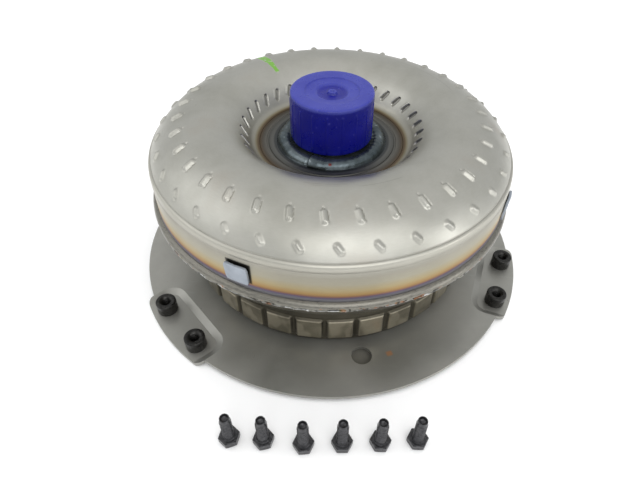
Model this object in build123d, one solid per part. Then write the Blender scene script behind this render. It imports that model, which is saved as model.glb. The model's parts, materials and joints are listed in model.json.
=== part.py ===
from build123d import *
import os
from math import acos, atan2, cos, degrees, hypot, pi, radians, sin, sqrt

# Lock-up torque converter standing on its mounting plate.
# Millimetres. +Z runs along the shaft, from the engine side up to the gearbox side.
# Origin: on the axis, in the plane of the three mounting pads.

# ---------------------------------------------------------------- driving dimensions
BODY_R = 143.0             # outside radius of the welded housing
SHELL_T = 3.0              # pressed steel thickness of the housing
CREST_R = 97.0             # radius of the highest circle of the torus
CREST_Z = 142.7            # its height
OUTER_ARC_R = 52.0         # torus section outside the crest
INNER_ARC_R = 33.3         # torus section inside the crest
FOOT_ARC_R = 8.6           # hollow round at the foot of the bowl
HUB_DISC_R = 57.2          # hub flange
HUB_DISC_Z = (112.6, 116.9)
CREASE_R = 141.0           # where the torus meets the rolled rim
RIM_DROP = 4.0             # height of the rolled rim below the crease
SKIRT_Z = 81.0             # lower edge of the impeller skirt

PLATE_R = 167.2            # mounting plate
PLATE_T = 3.0
PLATE_BORE_R = 98.0
PAD_SINK = 3.0             # the pads stand this far below the plate
PAD_R = 172.8              # outer edge of a pad
PAD_X = 145.0              # inner edge of a pad's flat floor
PAD_HALF_W = 36.0          # half width of that floor
PAD_RAMP = 5.5             # width of the joggle round a pad
PAD_CORNER_R = 8.0
EAR_CORNER_R = 7.0         # outer corners of a pad in plan
PAD_ANGLES = [-138.55, -18.55, 101.45]
PLATE_HOLE_R = 8.0
PLATE_HOLE_PCR = 134.2

NUT_PCR = 160.5            # weld nuts, two on each pad
NUT_HALF_ANGLE = 8.3
NUT_R = 8.25
NUT_H = 11.0
THREAD_R = 3.4             # M8 core
BOLT_CLEAR_R = 4.5

BOLT_AF = 13.0             # loose mounting bolts, M8
BOLT_HEAD_H = 5.3
BOLT_SHANK_R = 4.0
BOLT_SHANK_L = 25.0
BOLT_TIP_L = 4.5
BOLT_TIP_R = 3.4
BOLT_SPOTS = [
    (-66.4, -196.3, 20.0),
    (-42.7, -197.5, 15.0),
    (-15.1, -200.2, 7.0),
    (11.3, -198.7, 1.0),
    (37.6, -197.6, -2.0),
    (63.4, -195.7, -1.0),
]

DRUM_R = 120.7             # clutch drum of the front cover, outside
DRUM_T = 3.0
DRUM_TEETH = 32
TOOTH_RISE = 2.5
TOOTH_Z = (15.0, 36.0)
TOOTH_SHARE = 0.72
TOOTH_PHASE = -63.0         # degrees, centre of one tooth
COVER_FLOOR_Z = (6.0, 9.0)
SHOULDER_Z = (46.0, 68.0)
RIM_R = 139.9              # cover rim, inside the impeller skirt
RIM_TOP_Z = 86.0

VANES = 34                 # impeller
TURBINE_VANES = 33
STATOR_VANES = 17
VANE_T = 1.2

TURBINE_C = (96.0, 91.0)   # centre of the turbine section circle (r, z)
TURBINE_ARC_R = 39.0
TURBINE_T = 2.5
TURBINE_TOP_Z = 89.5
IMPELLER_LOW_Z = 93.0
CORE_T = 1.5
IMPELLER_CORE = (97.0, 93.0, 16.0)
TURBINE_CORE = (96.0, 89.5, 15.0)

JOURNAL_R = 27.0           # pump drive hub
HUB_BORE_R = 22.5
HUB_TOP_Z = 150.0
CAP_R = 32.3
CAP_Z = (121.9, 159.0)
CAP_WALL = 1.6
CAP_RIBS = 18

BORE_FIT = 0.08            # running clearance of round fits

PILOT_R = 19.95            # pilot nose that centres the engine side
COVER_BORE_R = 20.6        # bore of the cover round the pilot hub
SNAP_R = 119.2             # groove of the clutch snap ring
SNAP_Z = (32.0, 34.0)
PISTON_BORE_R = 108.0
BOSS_R = 28.0
SPRING_COUNT = 8
SPRING_MID_R = 72.4
SPRING_OD = 13.6
SPRING_WIRE = 2.4
SPRING_L = 30.8
SPRING_TURNS = 6
DAMPER_Z = 43.5
DAMPER_PLAY = 4.0          # degrees each way before the springs load up
WINDOW_HALF = SPRING_L / 2 + SPRING_MID_R * radians(DAMPER_PLAY) + 1.5


# ---------------------------------------------------------------- helpers
def ring(r_in, r_out, z0, z1):
    """Plain ring about the Z axis."""
    body = Pos(0, 0, z0) * Cylinder(r_out, z1 - z0, align=(Align.CENTER, Align.CENTER, Align.MIN))
    if r_in <= 0:
        return body
    return body - Pos(0, 0, z0 - 1) * Cylinder(
        r_in, z1 - z0 + 2, align=(Align.CENTER, Align.CENTER, Align.MIN)
    )


def rod(x, y, r, z0, z1):
    """Cylinder parallel to Z."""
    return Pos(x, y, z0) * Cylinder(r, z1 - z0, align=(Align.CENTER, Align.CENTER, Align.MIN))


def block(x0, x1, y0, y1, z0, z1):
    """Box between two corners."""
    return Pos((x0 + x1) / 2, (y0 + y1) / 2, (z0 + z1) / 2) * Box(x1 - x0, y1 - y0, z1 - z0)


def spin(edges):
    """Turn a closed outline in the (r, z) half plane about Z."""
    return revolve(make_face(Wire(edges)), Axis.Z)


def outline(points):
    """Straight outline through (r, z) points."""
    corners = [(r, 0, z) for r, z in points]
    return Polyline(*corners, close=True).edges()


def arc_through(p0, p1, p2):
    """Arc edge through three (r, z) points."""
    return ThreePointArc((p0[0], 0, p0[1]), (p1[0], 0, p1[1]), (p2[0], 0, p2[1])).edge()


def seg(p0, p1):
    """Straight edge between two (r, z) points."""
    return Line((p0[0], 0, p0[1]), (p1[0], 0, p1[1])).edge()


def on_arc(centre, radius, angle):
    """Point of a section circle at an angle in degrees."""
    return (centre[0] + radius * cos(radians(angle)), centre[1] + radius * sin(radians(angle)))


def section_arc(centre, radius, a0, a1):
    """Arc edge of a section circle between two angles."""
    return arc_through(
        on_arc(centre, radius, a0), on_arc(centre, radius, (a0 + a1) / 2), on_arc(centre, radius, a1)
    )


def around(shape, count, start=0.0):
    """Copies of a shape, evenly spaced about Z."""
    return [Rot(0, 0, start + i * 360 / count) * shape for i in range(count)]


def group(shapes):
    """Separate solids that share one node."""
    solids = []
    for shape in shapes:
        solids.extend(shape.solids())
    return Compound(children=solids)


def teeth_ring(r_root, r_tip, z0, z1, count, share, start=0.0):
    """Ring of straight teeth between two radii, to be added to or cut from a ring."""
    pitch = 2 * pi / count
    width = r_tip * pitch * share
    trim = ring(r_root, r_tip, z0, z1)
    tooth = block(r_root - 1, r_tip + 1, -width / 2, width / 2, z0, z1) & trim
    return around(tooth, count, start)


NODES = {}


def node(name, shape):
    """Keep a finished piece under its node name."""
    NODES[name] = shape


# ---------------------------------------------------------------- torus section
OUTER_C = (CREST_R, CREST_Z - OUTER_ARC_R)
INNER_C = (CREST_R, CREST_Z - INNER_ARC_R)
FOOT_C = (HUB_DISC_R + 0.3, HUB_DISC_Z[1] + FOOT_ARC_R)


def bowl_normal():
    """Angle of the normal of the straight run between the crest arc and the foot arc."""
    dr = INNER_C[0] - FOOT_C[0]
    dz = INNER_C[1] - FOOT_C[1]
    spread = acos((INNER_ARC_R + FOOT_ARC_R) / hypot(dr, dz))
    return degrees(atan2(dz, dr) - spread)


BOWL_N = bowl_normal()
CREASE_A = degrees(acos((CREASE_R - CREST_R) / OUTER_ARC_R))


def shell_line(depth):
    """Edges of the shell's section, from the hub to the crease, at a depth below the skin."""
    n = BOWL_N
    foot_r = FOOT_ARC_R + depth
    inner_r = INNER_ARC_R - depth
    outer_r = OUTER_ARC_R - depth
    foot_end = on_arc(FOOT_C, foot_r, n)
    inner_start = on_arc(INNER_C, inner_r, n + 180)
    return [
        section_arc(FOOT_C, foot_r, -90, n),
        seg(foot_end, inner_start),
        section_arc(INNER_C, inner_r, n + 180, 90),
        section_arc(OUTER_C, outer_r, 90, CREASE_A),
    ]


def impeller_shell():
    """Pressed torus half with its rolled rim and straight skirt."""
    skin = shell_line(0)
    back = shell_line(SHELL_T)
    skin_foot = on_arc(FOOT_C, FOOT_ARC_R, -90)
    back_foot = on_arc(FOOT_C, FOOT_ARC_R + SHELL_T, -90)
    crease = on_arc(OUTER_C, OUTER_ARC_R, CREASE_A)
    inner_end = on_arc(OUTER_C, OUTER_ARC_R - SHELL_T, CREASE_A)
    skirt_top = (BODY_R, crease[1] - RIM_DROP)
    rim_mid = (BODY_R - 0.55, crease[1] - 0.9)
    wall_in = BODY_R - SHELL_T
    edges = [seg(back_foot, skin_foot)] + skin
    edges += [
        arc_through(crease, rim_mid, skirt_top),
        seg(skirt_top, (BODY_R, SKIRT_Z)),
        seg((BODY_R, SKIRT_Z), (wall_in, SKIRT_Z)),
        seg((wall_in, SKIRT_Z), (wall_in, inner_end[1] - 3.0)),
        seg((wall_in, inner_end[1] - 3.0), inner_end),
    ]
    edges += back
    return spin(edges)


# ---------------------------------------------------------------- housing
def pad_tray(z0, z1, grow0, grow1):
    """Rounded tray of a pad whose outline grows between two heights."""
    far = PAD_X + 80.0
    faces = []
    for z, grow in ((z0, grow0), (z1, grow1)):
        length = far - PAD_X + 2 * grow
        width = 2 * (PAD_HALF_W + grow)
        face = Pos((PAD_X + far) / 2, 0, z) * RectangleRounded(length, width, PAD_CORNER_R + grow)
        faces.append(face)
    return loft(faces)


def pad_ear(z0, z1):
    """Piece of ring that carries a pad past the edge of the plate."""
    half = PAD_HALF_W + PAD_RAMP
    face = Circle(PAD_R) & Pos(PAD_R - 15, 0) * Rectangle(40, 2 * half)
    face = fillet(face.vertices().group_by(Axis.X)[-1], EAR_CORNER_R)
    return extrude(Pos(0, 0, z0) * face, amount=z1 - z0)


def mounting_plate():
    """Steel plate with three sunk pads, a nut hole pair on each, and three round holes."""
    top = PAD_SINK + PLATE_T
    plate = ring(PLATE_BORE_R, PLATE_R, PAD_SINK, top)
    ear = pad_ear(PAD_SINK, top)
    hollow = pad_tray(PAD_SINK, top, 0, PAD_RAMP)
    blank = ring(PLATE_BORE_R, PLATE_R, 0, PAD_SINK) + pad_ear(0, PAD_SINK)
    tray = pad_tray(0, PAD_SINK, 1.5, PAD_RAMP + 1.5) & blank
    for angle in PAD_ANGLES:
        turn = Rot(0, 0, angle)
        plate += turn * ear
        plate -= turn * hollow
        plate += turn * tray
    for angle in PAD_ANGLES:
        for side in (-1, 1):
            a = radians(angle + side * NUT_HALF_ANGLE)
            plate -= rod(NUT_PCR * cos(a), NUT_PCR * sin(a), BOLT_CLEAR_R, -1, top)
        b = radians(angle + 60)
        plate -= rod(PLATE_HOLE_PCR * cos(b), PLATE_HOLE_PCR * sin(b), PLATE_HOLE_R, -1, top + 1)
    return plate


def weld_nuts():
    """Six round weld nuts with chamfered threads."""
    z0 = PAD_SINK
    z1 = PAD_SINK + NUT_H
    nut = spin(
        outline(
            [
                (THREAD_R, z0),
                (NUT_R, z0),
                (NUT_R, z1 - 0.9),
                (NUT_R - 0.9, z1),
                (THREAD_R + 1.5, z1),
                (THREAD_R, z1 - 1.5),
            ]
        )
    )
    nuts = []
    for angle in PAD_ANGLES:
        for side in (-1, 1):
            a = radians(angle + side * NUT_HALF_ANGLE)
            nuts.append(Pos(NUT_PCR * cos(a), NUT_PCR * sin(a), 0) * nut)
    return group(nuts)


def front_cover():
    """Engine side cover: floor, toothed clutch drum, sloping shoulder and rim."""
    f0, f1 = COVER_FLOOR_Z
    r_in = DRUM_R - DRUM_T
    s0, s1 = SHOULDER_Z
    slope_in = 1.3
    cover = spin(
        [
            seg((COVER_BORE_R, f0), (DRUM_R - 7.5, f0)),
            arc_through((DRUM_R - 7.5, f0), (DRUM_R - 2.2, f0 + 2.2), (DRUM_R, f0 + 7.5)),
            seg((DRUM_R, f0 + 7.5), (DRUM_R, s0)),
            seg((DRUM_R, s0), (RIM_R, s1)),
            seg((RIM_R, s1), (RIM_R, RIM_TOP_Z)),
            seg((RIM_R, RIM_TOP_Z), (RIM_R - DRUM_T, RIM_TOP_Z)),
            seg((RIM_R - DRUM_T, RIM_TOP_Z), (RIM_R - DRUM_T, s1 + slope_in)),
            seg((RIM_R - DRUM_T, s1 + slope_in), (r_in, s0 + slope_in)),
            seg((r_in, s0 + slope_in), (r_in, f1 + 3.5)),
            arc_through((r_in, f1 + 3.5), (r_in - 1.05, f1 + 1.05), (r_in - 3.5, f1)),
            seg((r_in - 3.5, f1), (COVER_BORE_R, f1)),
            seg((COVER_BORE_R, f1), (COVER_BORE_R, f0)),
        ]
    )
    z0, z1 = TOOTH_Z
    teeth = teeth_ring(DRUM_R - 1, DRUM_R + TOOTH_RISE, z0, z1, DRUM_TEETH, TOOTH_SHARE, TOOTH_PHASE)
    cover += group(teeth)
    grooves = teeth_ring(
        r_in - 1, r_in + TOOTH_RISE, z0, z1, DRUM_TEETH, TOOTH_SHARE - 0.1, TOOTH_PHASE
    )
    cover -= group(grooves)
    cover -= ring(r_in - 1, SNAP_R, *SNAP_Z)
    return cover


node("mounting_plate", mounting_plate())
node("weld_nuts", weld_nuts())
node("front_cover", front_cover())
node("impeller_shell", impeller_shell())
node(
    "pilot_hub",
    spin(
        outline(
            [
                (0, 1.2),
                (PILOT_R - 3.2, 1.2),
                (PILOT_R - 2.0, 0.0),
                (PILOT_R, 0.0),
                (PILOT_R, COVER_FLOOR_Z[0]),
                (COVER_BORE_R, COVER_FLOOR_Z[0]),
                (COVER_BORE_R, COVER_FLOOR_Z[1]),
                (34.0, COVER_FLOOR_Z[1]),
                (34.0, COVER_FLOOR_Z[1] + 0.9),
                (BOSS_R, COVER_FLOOR_Z[1] + 0.9),
                (BOSS_R, 28.5),
                (12.0, 28.5),
                (12.0, 9.0),
                (0, 8.0),
            ]
        )
    ),
)
node(
    "seam_weld",
    spin(
        [
            seg((RIM_R, 76.8), (RIM_R, SKIRT_Z)),
            seg((RIM_R, SKIRT_Z), (BODY_R, SKIRT_Z)),
            seg((BODY_R, SKIRT_Z), (BODY_R, 85.4)),
            arc_through((BODY_R, 85.4), (146.9, 81.2), (RIM_R, 76.8)),
        ]
    ),
)
node(
    "piston_cylinder_ring",
    spin(
        outline(
            [
                (PISTON_BORE_R, 9.0),
                (113.0, 9.0),
                (113.0, 11.0),
                (111.0, 11.0),
                (111.0, 17.2),
                (PISTON_BORE_R, 17.2),
            ]
        )
    ),
)


def tabbed_disc(r_in, r_out, z0, z1, tab_r):
    """Clutch plate whose outer tabs slide in the drum's grooves."""
    disc = ring(r_in, r_out, z0, z1)
    tabs = teeth_ring(r_out - 1, tab_r, z0, z1, DRUM_TEETH, TOOTH_SHARE - 0.22, TOOTH_PHASE)
    return disc + group(tabs)


STEEL_R = 117.3
TAB_R = 119.8
node("steel_plate_lower", tabbed_disc(95.5, STEEL_R, 18.0, 20.0, TAB_R))
node("steel_plate_upper", tabbed_disc(95.5, STEEL_R, 23.0, 25.0, TAB_R))
node("backing_plate", tabbed_disc(95.5, STEEL_R, 28.0, 31.9, TAB_R))
snap = ring(114.0, SNAP_R - 0.1, 32.05, 33.95) - block(100, 130, -6, 6, 30, 36)
node("snap_ring", snap)

# impeller inside
BLADE_BAND_LOW = 104.5
CORE_GAP_R = 82.5


def vane_sheet(count, sweep, r0, r1, z0, z1):
    """One tall curved sheet, one vane thick, bowed by a sweep in degrees from r0 to r1."""
    mid = (r0 + r1) / 2
    a1 = radians(sweep)
    p0 = Vector(r0, 0, z0)
    p1 = Vector(mid * cos(a1 * 0.2), mid * sin(a1 * 0.2), z0)
    p2 = Vector(r1 * cos(a1), r1 * sin(a1), z0)
    strip = trace(ThreePointArc(p0, p1, p2), VANE_T)
    return extrude(strip, amount=z1 - z0, dir=(0, 0, 1))


def impeller_vane_zone():
    """Space between the shell and the core ring."""
    bite = SHELL_T - 0.4
    skin = shell_line(bite)[2:]
    start = on_arc(INNER_C, INNER_ARC_R - bite, BOWL_N + 180)
    end = on_arc(OUTER_C, OUTER_ARC_R - bite, CREASE_A)
    wall = BODY_R - SHELL_T - 0.3
    zone = spin(
        [seg((start[0], IMPELLER_LOW_Z), start)]
        + skin
        + [
            seg(end, (wall, end[1] - 3.0)),
            seg((wall, end[1] - 3.0), (wall, IMPELLER_LOW_Z)),
            seg((wall, IMPELLER_LOW_Z), (start[0], IMPELLER_LOW_Z)),
        ]
    )
    centre_r, centre_z, arc_r = IMPELLER_CORE
    core = Pos(0, 0, centre_z) * Torus(centre_r, arc_r - 0.3)
    zone -= core
    zone -= ring(0, CORE_GAP_R, 80, BLADE_BAND_LOW)
    return zone


def core_ring(centre_r, centre_z, arc_r, upper):
    """Half torus that joins the vanes on the inside."""
    a0, a1 = (0, 180) if upper else (-180, 0)
    c = (centre_r, centre_z)
    return spin(
        [
            section_arc(c, arc_r, a0, a1),
            seg(on_arc(c, arc_r, a1), on_arc(c, arc_r - CORE_T, a1)),
            section_arc(c, arc_r - CORE_T, a1, a0),
            seg(on_arc(c, arc_r - CORE_T, a0), on_arc(c, arc_r, a0)),
        ]
    )


vane = vane_sheet(VANES, 14, 60, 142, 90, 145) & impeller_vane_zone()
node("impeller_vanes", group(around(vane, VANES)))
node("impeller_core_ring", core_ring(*IMPELLER_CORE, True))
hub = spin(
    outline(
        [
            (HUB_BORE_R, HUB_DISC_Z[0]),
            (HUB_DISC_R, HUB_DISC_Z[0]),
            (HUB_DISC_R, HUB_DISC_Z[1]),
            (52.0, HUB_DISC_Z[1]),
            (51.6, HUB_DISC_Z[1] - 0.5),
            (50.4, HUB_DISC_Z[1] - 0.5),
            (50.0, HUB_DISC_Z[1]),
            (JOURNAL_R, HUB_DISC_Z[1]),
            (JOURNAL_R, HUB_TOP_Z - 1.5),
            (JOURNAL_R - 1.5, HUB_TOP_Z),
            (HUB_BORE_R + 0.8, HUB_TOP_Z),
            (HUB_BORE_R, HUB_TOP_Z - 0.8),
        ]
    )
)
hub -= block(-40, 40, -5, 5, HUB_TOP_Z - 8, HUB_TOP_Z + 1)
node("impeller_hub", hub)
node(
    "hub_weld_bead",
    spin(
        [
            seg((JOURNAL_R, HUB_DISC_Z[1]), (JOURNAL_R, 120.4)),
            seg((JOURNAL_R, 120.4), (31.5, 121.5)),
            arc_through((31.5, 121.5), (39.0, 120.6), (43.0, HUB_DISC_Z[1])),
            seg((43.0, HUB_DISC_Z[1]), (JOURNAL_R, HUB_DISC_Z[1])),
        ]
    ),
)


def balance_weight(angle, low_z, width, height, lift):
    """Bent steel tab spot welded to the skirt, standing off at its top."""
    thick = 2.2
    x0 = BODY_R + 0.05
    foot = block(x0 - 1.5, x0 + thick, -width / 2, width / 2, low_z, low_z + height * 0.35)
    foot -= ring(0, BODY_R, 0, 200)
    leaf = Pos(x0 + 0.1, 0, low_z + height * 0.3) * Rot(0, lift, 0) * block(
        0, thick, -width / 2, width / 2, 0, height * 0.7
    )
    leaf -= ring(0, BODY_R, 0, 200)
    return Rot(0, 0, angle) * (foot + leaf)


node("balance_weight_front", balance_weight(-114.4, 89.0, 19.0, 18.5, 4.0))
node("balance_weight_side", balance_weight(-23.0, 87.5, 19.0, 19.0, 3.5))

# ---------------------------------------------------------------- lock-up piston
PISTON_SEAL_Z = (13.0, 15.2)
node(
    "lockup_piston",
    spin(
        outline(
            [
                (BOSS_R + 0.3, 10.2),
                (94.0, 10.2),
                (107.6, 10.2),
                (107.6, PISTON_SEAL_Z[0]),
                (105.6, PISTON_SEAL_Z[0]),
                (105.6, PISTON_SEAL_Z[1]),
                (107.6, PISTON_SEAL_Z[1]),
                (107.6, 16.6),
                (96.0, 16.6),
                (96.0, 13.0),
                (34.0, 13.0),
                (34.0, 18.0),
                (BOSS_R + 0.3, 18.0),
                (BOSS_R + 0.3, 16.2),
                (BOSS_R + 2.2, 16.2),
                (BOSS_R + 2.2, 14.0),
                (BOSS_R + 0.3, 14.0),
            ]
        )
    ),
)
node("piston_outer_seal", ring(105.65, PISTON_BORE_R - BORE_FIT, 13.05, 15.15))
node("piston_inner_seal", ring(BOSS_R + BORE_FIT, BOSS_R + 2.15, 14.05, 16.15))

# ---------------------------------------------------------------- clutch hub, discs, damper input
HUB_TEETH = 40
CARRIER_R = 91.8
CARRIER_TIP_R = 94.4


def friction_disc(z0, z1):
    """Steel core with inner teeth on the clutch hub."""
    disc = ring(94.9, 116.3, z0, z1)
    tabs = teeth_ring(92.3, 95.5, z0, z1, HUB_TEETH, 0.36, 180 / HUB_TEETH)
    return disc + group(tabs)


def facing_pair(z0, z1):
    """Two paper linings on the faces of a friction disc."""
    return [ring(97.0, 116.0, z0 - 0.5, z0), ring(97.0, 116.0, z1, z1 + 0.5)]


node("friction_disc_lower", friction_disc(20.9, 22.1))
node("friction_disc_upper", friction_disc(25.9, 27.1))
node("friction_facings", group(facing_pair(20.9, 22.1) + facing_pair(25.9, 27.1)))

PLATE_RIVET_R = 86.6
carrier = ring(89.0, CARRIER_R, 18.0, 37.4)
carrier += ring(83.6, CARRIER_R, 35.2, 37.4)
carrier += group(teeth_ring(CARRIER_R - 0.8, CARRIER_TIP_R, 18.0, 30.0, HUB_TEETH, 0.4))
node("clutch_hub", carrier)


def spring_window(half_w, r0, r1, z0, z1):
    """Rectangular windows for the damper springs."""
    cut = block(r0, r1, -half_w, half_w, z0, z1)
    return around(cut, SPRING_COUNT)


def damper_plate(z0, z1, r_out):
    """Side plate with windows wide enough for the free play."""
    plate = ring(58.0, r_out, z0, z1)
    for cut in spring_window(WINDOW_HALF, 64.5, 82.0, z0 - 1, z1 + 1):
        plate -= cut
    return plate


node("damper_plate_front", damper_plate(37.5, 39.5, 90.5))
node("damper_plate_rear", damper_plate(47.2, 49.2, 89.0))
rivet = spin(
    outline(
        [
            (0, 34.2),
            (2.2, 34.2),
            (2.2, 35.2),
            (1.6, 35.2),
            (1.6, 39.5),
            (2.0, 39.5),
            (2.0, 47.2),
            (1.6, 47.2),
            (1.6, 49.2),
            (2.4, 49.2),
            (2.4, 50.2),
            (0, 50.2),
        ]
    )
)
rivet_spot = Pos(PLATE_RIVET_R, 0, 0) * rivet
node("damper_rivets", group(around(rivet_spot, SPRING_COUNT, 22.5)))
for hole in around(rod(PLATE_RIVET_R, 0, 1.6, 34, 51), SPRING_COUNT, 22.5):
    for name in ("clutch_hub", "damper_plate_front", "damper_plate_rear"):
        NODES[name] = NODES[name] - hole

# ---------------------------------------------------------------- turbine body
flange = ring(24.2, 84.0, 42.0, 45.0)
for cut in spring_window(SPRING_L / 2 + 0.2, SPRING_MID_R - 7.4, SPRING_MID_R + 7.4, 40, 47):
    flange -= cut
node("damper_flange", flange)


def coil_spring():
    """Round wire coil along Y at the spring radius."""
    coil_r = (SPRING_OD - SPRING_WIRE) / 2
    path_l = SPRING_L - SPRING_WIRE
    path = Helix(pitch=path_l / SPRING_TURNS, height=path_l, radius=coil_r)
    start = path @ 0
    section = Plane(origin=start, z_dir=path % 0) * Circle(SPRING_WIRE / 2)
    coil = sweep(section, path=path, is_frenet=True)
    upright = Pos(0, 0, -path_l / 2) * coil
    return Pos(SPRING_MID_R, 0, DAMPER_Z) * (Rot(90, 0, 0) * upright)


node("damper_springs", group(around(coil_spring(), SPRING_COUNT)))

HUB_SPLINES = 24
TURBINE_FLANGE_R = 54.0
turbine_hub = spin(
    outline(
        [
            (14.2, 32.8),
            (24.0, 32.8),
            (24.0, 45.0),
            (48.0, 45.0),
            (48.0, 48.6),
            (24.0, 48.6),
            (24.0, 62.0),
            (TURBINE_FLANGE_R, 62.0),
            (TURBINE_FLANGE_R, 65.9),
            (24.0, 65.9),
            (24.0, 71.5),
            (14.2, 71.5),
        ]
    )
)
turbine_hub += group(teeth_ring(13.0, 14.8, 36.0, 71.0, HUB_SPLINES, 0.45))
FLANGE_RIVET_R = 44.0
SHELL_RIVET_R = 49.2
RIVET_COUNT = 10
RIVET_R = 2.2


def headed_rivet(low, high, head_h):
    """Rivet that grips from low to high, with a flat head at each end."""
    return spin(
        outline(
            [
                (0, low - 1.2),
                (3.4, low - 1.2),
                (3.4, low),
                (RIVET_R, low),
                (RIVET_R, high),
                (3.4, high),
                (3.4, high + head_h),
                (0, high + head_h),
            ]
        )
    )


lower_rivets = around(Pos(FLANGE_RIVET_R, 0, 0) * headed_rivet(42.0, 48.6, 1.2), RIVET_COUNT)
upper_rivets = around(Pos(SHELL_RIVET_R, 0, 0) * headed_rivet(62.0, 68.4, 0.9), RIVET_COUNT, 18)
node("turbine_rivets", group(lower_rivets + upper_rivets))


def turbine_shell():
    """Turbine half shell with its riveting flange."""
    c = TURBINE_C
    a_top = degrees(acos(sqrt(1 - ((TURBINE_TOP_Z - c[1]) / TURBINE_ARC_R) ** 2)))
    in_r = TURBINE_ARC_R - TURBINE_T
    a_in = degrees(acos(sqrt(1 - ((TURBINE_TOP_Z - c[1]) / in_r) ** 2)))
    end = -140
    band = spin(
        [
            section_arc(c, TURBINE_ARC_R, -a_top, end),
            seg(on_arc(c, TURBINE_ARC_R, end), on_arc(c, in_r, end)),
            section_arc(c, in_r, end, -a_in),
            seg(on_arc(c, in_r, -a_in), on_arc(c, TURBINE_ARC_R, -a_top)),
        ]
    )
    outer = on_arc(c, TURBINE_ARC_R, end)
    return band + ring(30.0, outer[0] + 1.4, 65.9, 68.4)


shell = turbine_shell()
for i in range(RIVET_COUNT):
    a = radians(18 + i * 360 / RIVET_COUNT)
    x = cos(a) * SHELL_RIVET_R
    y = sin(a) * SHELL_RIVET_R
    shell -= rod(x, y, RIVET_R, 60, 70)
    turbine_hub -= rod(x, y, RIVET_R, 60, 67)
    b = radians(i * 360 / RIVET_COUNT)
    x = cos(b) * FLANGE_RIVET_R
    y = sin(b) * FLANGE_RIVET_R
    NODES["damper_flange"] = NODES["damper_flange"] - rod(x, y, RIVET_R, 40, 47)
    turbine_hub -= rod(x, y, RIVET_R, 44, 50)
node("turbine_shell", shell)
node("turbine_hub", turbine_hub)


def turbine_vane_zone():
    """Space between the turbine shell and its core ring."""
    c = TURBINE_C
    in_r = TURBINE_ARC_R - TURBINE_T + 0.4
    end = -140
    start = on_arc(c, in_r, end)
    top = on_arc(c, in_r, -2.5)
    zone = spin(
        [
            section_arc(c, in_r, end, -2.5),
            seg(top, (start[0], top[1])),
            seg((start[0], top[1]), start),
        ]
    )
    centre_r, centre_z, arc_r = TURBINE_CORE
    zone -= Pos(0, 0, centre_z) * Torus(centre_r, arc_r - 0.3)
    zone -= ring(0, CORE_GAP_R, 78.5, 120)
    return zone


blade = vane_sheet(TURBINE_VANES, -20, 62, 136, 48, 92) & turbine_vane_zone()
node("turbine_vanes", group(around(blade, TURBINE_VANES)))
node("turbine_core_ring", core_ring(*TURBINE_CORE, False))

# ---------------------------------------------------------------- stator and one-way clutch
STATOR_Z = (75.2, 105.8)
RACE_OUT_R = 45.0
ROLLER_R = 3.95
ROLLER_PCR = 36.02
ROLLERS = 12
inner_z = (STATOR_Z[0] + 0.2, STATOR_Z[1] - 0.2)
wheel = ring(RACE_OUT_R, 54.0, *STATOR_Z)
wheel += ring(76.0, 78.0, 84.0, 99.0)
stator_vane = block(53.5, 76.5, -1.4, 1.4, 83.0, 99.5)
stator_vane = Pos(65, 0, 91.5) * Rot(32, 0, 0) * Pos(-65, 0, -91.5) * stator_vane
stator_vane = stator_vane & ring(53.6, 76.4, 83.5, 99.5)
wheel += group(around(stator_vane, STATOR_VANES))
node("stator_wheel", wheel)
node("one_way_outer_race", ring(40.05, RACE_OUT_R, STATOR_Z[0] + 0.3, STATOR_Z[1] - 0.3))
race = ring(19.6, 32.0, *inner_z)
race += group(teeth_ring(18.6, 20.4, inner_z[0] + 1, inner_z[1] - 1, HUB_SPLINES, 0.45))
node("one_way_inner_race", race)
rollers = around(rod(ROLLER_PCR, 0, ROLLER_R, 78.0, 103.0), ROLLERS)
node("one_way_rollers", group(rollers))
cage = ring(34.0, 38.2, 76.5, 104.5)
for pocket in around(block(30, 42, -ROLLER_R - 0.3, ROLLER_R + 2.8, 77.6, 103.4), ROLLERS):
    cage -= pocket
node("roller_cage", cage)
leaf = block(34.6, 37.6, ROLLER_R + 0.2, ROLLER_R + 2.6, 86.0, 95.0)
leaf -= block(34.0, 38.0, ROLLER_R + 0.7, ROLLER_R + 2.1, 86.5, 96.0)
node("roller_springs", group(around(leaf, ROLLERS)))
node("stator_plate_lower", ring(27.0, 53.0, 72.7, 75.0))
node("stator_plate_upper", ring(27.0, 53.0, 106.0, 108.3))


# ---------------------------------------------------------------- thrust bearings
def needle_cage(r_in, r_out, z_mid, count):
    """Needle rollers lying on their sides in a flat cage."""
    needle_r = 1.1
    length = r_out - r_in - 3.0
    mid = (r_in + r_out) / 2
    needle = Pos(mid, 0, z_mid) * (Rot(0, 90, 0) * Cylinder(needle_r, length))
    plate = ring(r_in, r_out, z_mid - 0.6, z_mid + 0.6)
    window = block(mid - length / 2 - 0.1, mid + length / 2 + 0.1, -1.2, 1.2, z_mid - 2, z_mid + 2)
    for cut in around(window, count):
        plate -= cut
    return plate, group(around(needle, count))


RACE_T = 1.0
BEARINGS = [
    ("front", 14.5, 24.0, 28.5, 20),
    ("middle", 31.0, 44.0, 68.4, 28),
    ("rear", 31.0, 44.0, 108.3, 28),
]
for label, r_in, r_out, base, count in BEARINGS:
    gap = 2.3
    node(f"{label}_bearing_lower_race", ring(r_in, r_out, base, base + RACE_T))
    cage_plate, needles = needle_cage(r_in + 0.5, r_out - 0.5, base + RACE_T + gap / 2, count)
    node(f"{label}_bearing_cage", cage_plate)
    node(f"{label}_bearing_needles", needles)
    top = base + RACE_T + gap
    node(f"{label}_bearing_upper_race", ring(r_in, r_out, top, top + RACE_T))


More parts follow.
